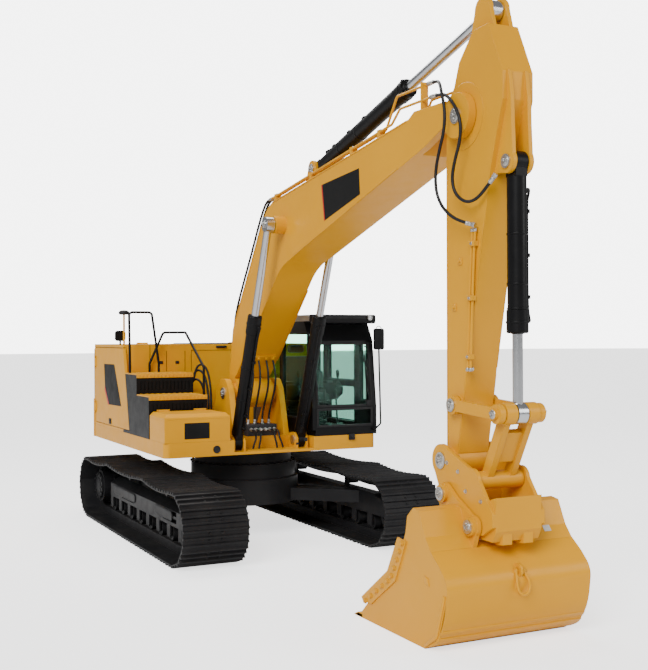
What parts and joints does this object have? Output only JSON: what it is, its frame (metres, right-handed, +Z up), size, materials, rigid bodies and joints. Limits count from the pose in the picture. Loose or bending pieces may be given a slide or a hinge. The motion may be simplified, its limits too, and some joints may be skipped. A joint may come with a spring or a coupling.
{
  "type": "crawler excavator",
  "caption": "Crawler excavator with a one-piece boom, stick, quick coupler and wide bucket, a hollow cab on the left and a house that swings on two tracks.",
  "frame": {"origin": "on the ground under the middle of the overall length and width", "axes": "+Z up, -Y the way the machine faces, +X towards the cab side"},
  "size_m": [3.39, 9.385, 5.665],
  "materials": {
    "yellow": "gloss yellow paint",
    "black": "black paint, satin",
    "dark_grey": "dark grey paint, satin",
    "roof_grey": "light grey paint",
    "track_steel": "black painted track steel",
    "rod_chrome": "polished rod",
    "pin_steel": "bare pin steel",
    "glass": "green-tinted glass",
    "seat_black": "black seat and consoles",
    "hose_rubber": "black hose",
    "tube_yellow": "gloss yellow paint on hydraulic tube"
  },
  "bodies": {
    "undercarriage": {"carbody": "black", "track_frame_right": "black", "track_frame_left": "black", "track_right": "track_steel", "track_left": "track_steel", "rollers_right": "black", "rollers_left": "black", "idler_wheels": "track_steel", "sprockets": "black", "slew_ring": "dark_grey"},
    "house": {"deck": "yellow", "counterweight": "yellow", "engine_housing": "yellow", "engine": "dark_grey", "step_covers": "black", "step_treads": "yellow", "storage_box": "yellow", "handrails": "black", "antenna_post": "yellow", "mirrors": "black", "valve_block": "dark_grey", "cab_frame": "black", "cab_roof": "roof_grey", "cab_glass": "glass", "lamps": "black", "seat": "seat_black", "house_pins": "pin_steel"},
    "storage_lid": {"storage_lid": "yellow"},
    "engine_hood": {"engine_hood": "yellow"},
    "side_door_right": {"side_door_right": "yellow"},
    "side_door_left": {"side_door_left": "yellow"},
    "cab_door": {"cab_door": "black", "door_glass": "glass"},
    "boom": {"boom": "yellow", "boom_pins": "pin_steel", "boom_pipes": "tube_yellow", "nose_hoses": "hose_rubber"},
    "boom_barrel_right": {"boom_barrel_right": "black"},
    "boom_barrel_left": {"boom_barrel_left": "black"},
    "boom_rod_right": {"boom_rod_right": "rod_chrome"},
    "boom_rod_left": {"boom_rod_left": "rod_chrome"},
    "stick": {"stick": "yellow", "stick_pins": "pin_steel", "stick_pipes": "tube_yellow"},
    "stick_barrel": {"stick_barrel": "black"},
    "stick_rod": {"stick_rod": "rod_chrome"},
    "bucket_barrel": {"bucket_barrel": "black"},
    "bucket_rod": {"bucket_rod": "rod_chrome"},
    "idler_links": {"idler_links": "yellow"},
    "power_link": {"power_link": "yellow"},
    "bucket": {"coupler": "yellow", "bucket": "yellow", "bucket_pins": "pin_steel"}
  },
  "joints": [
    {"name": "swing", "type": "hinge", "parent": "undercarriage", "child": "house", "pos_m": [0, 1.6925, 0.96], "axis": [0, 0, 1], "continuous": true},
    {"name": "boom", "type": "hinge", "parent": "house", "child": "boom", "pos_m": [0, 1.3925, 1.9], "axis": [-1, 0, 0], "range_deg": [-64, 26]},
    {"name": "stick", "type": "hinge", "parent": "boom", "child": "stick", "pos_m": [0, -4.0275, 4.64], "axis": [1, 0, 0], "range_deg": [-79, 43], "deforming": ["nose_hoses"]},
    {"name": "bucket", "type": "hinge", "parent": "stick", "child": "bucket", "pos_m": [0, -3.8075, 1.53], "axis": [-1, 0, 0], "range_deg": [-115, 45]},
    {"name": "boom_barrel_right", "type": "hinge", "parent": "house", "child": "boom_barrel_right", "pos_m": [-0.446, 0.8075, 1.29], "axis": [-1, 0, 0], "range_deg": [-62.86, 26.13]},
    {"name": "boom_rod_right", "type": "slide", "parent": "boom_barrel_right", "child": "boom_rod_right", "axis": [0, -0.3646, 0.9312], "range_m": [-0.874, 0.361]},
    {"name": "boom_barrel_left", "type": "hinge", "parent": "house", "child": "boom_barrel_left", "pos_m": [0.446, 0.8075, 1.29], "axis": [-1, 0, 0], "range_deg": [-62.86, 26.13]},
    {"name": "boom_rod_left", "type": "slide", "parent": "boom_barrel_left", "child": "boom_rod_left", "axis": [0, -0.3646, 0.9312], "range_m": [-0.874, 0.361]},
    {"name": "stick_barrel", "type": "hinge", "parent": "boom", "child": "stick_barrel", "pos_m": [0, -0.7575, 4.63], "axis": [1, 0, 0], "range_deg": [-4.63, 2.97]},
    {"name": "stick_rod", "type": "slide", "parent": "stick_barrel", "child": "stick_rod", "axis": [0, -0.9668, 0.2556], "range_m": [-1.109, 0.608]},
    {"name": "idler_links", "type": "hinge", "parent": "stick", "child": "idler_links", "pos_m": [0, -3.9175, 2.04], "axis": [-1, 0, 0], "range_deg": [-80.17, 31.98]},
    {"name": "power_link", "type": "hinge", "parent": "idler_links", "child": "power_link", "pos_m": [0, -4.5975, 2], "axis": [-1, 0, 0], "range_deg": [-19.31, 47.79]},
    {"name": "bucket_barrel", "type": "hinge", "parent": "stick", "child": "bucket_barrel", "pos_m": [0, -4.5875, 4.16], "axis": [-1, 0, 0], "range_deg": [-9.62, 4.38]},
    {"name": "bucket_rod", "type": "slide", "parent": "bucket_barrel", "child": "bucket_rod", "axis": [0, -0.0046, -1], "range_m": [-0.314, 0.788]},
    {"name": "cab_door", "type": "hinge", "parent": "house", "child": "cab_door", "pos_m": [1.516, 2.0265, 1.4], "axis": [0, 0, 1], "range_deg": [0, 150]},
    {"name": "side_door_right", "type": "hinge", "parent": "house", "child": "side_door_right", "pos_m": [-1.497, 3.9405, 1.4], "axis": [0, 0, -1], "range_deg": [0, 110]},
    {"name": "side_door_left", "type": "hinge", "parent": "house", "child": "side_door_left", "pos_m": [1.497, 3.9405, 1.4], "axis": [0, 0, 1], "range_deg": [0, 110]},
    {"name": "engine_hood", "type": "hinge", "parent": "house", "child": "engine_hood", "pos_m": [0, 3.9365, 2.562], "axis": [-1, 0, 0], "range_deg": [0, 60]},
    {"name": "storage_lid", "type": "hinge", "parent": "house", "child": "storage_lid", "pos_m": [-1.0525, 1.1965, 1.712], "axis": [-1, 0, 0], "range_deg": [0, 85]}
  ],
  "couplings": [
    {"joint": "boom_barrel_right", "follows": "boom", "ratio": 0.9666},
    {"joint": "boom_rod_right", "follows": "boom", "m_per_rad": 0.7734},
    {"joint": "boom_barrel_left", "follows": "boom", "ratio": 0.9666},
    {"joint": "boom_rod_left", "follows": "boom", "m_per_rad": 0.7734},
    {"joint": "stick_barrel", "follows": "stick", "ratio": 0.0459},
    {"joint": "stick_rod", "follows": "stick", "m_per_rad": 0.7971},
    {"joint": "idler_links", "follows": "bucket", "ratio": 0.6884},
    {"joint": "power_link", "follows": "bucket", "ratio": -0.4069},
    {"joint": "bucket_barrel", "follows": "bucket", "ratio": 0.075},
    {"joint": "bucket_rod", "follows": "bucket", "m_per_rad": -0.3875}
  ]
}
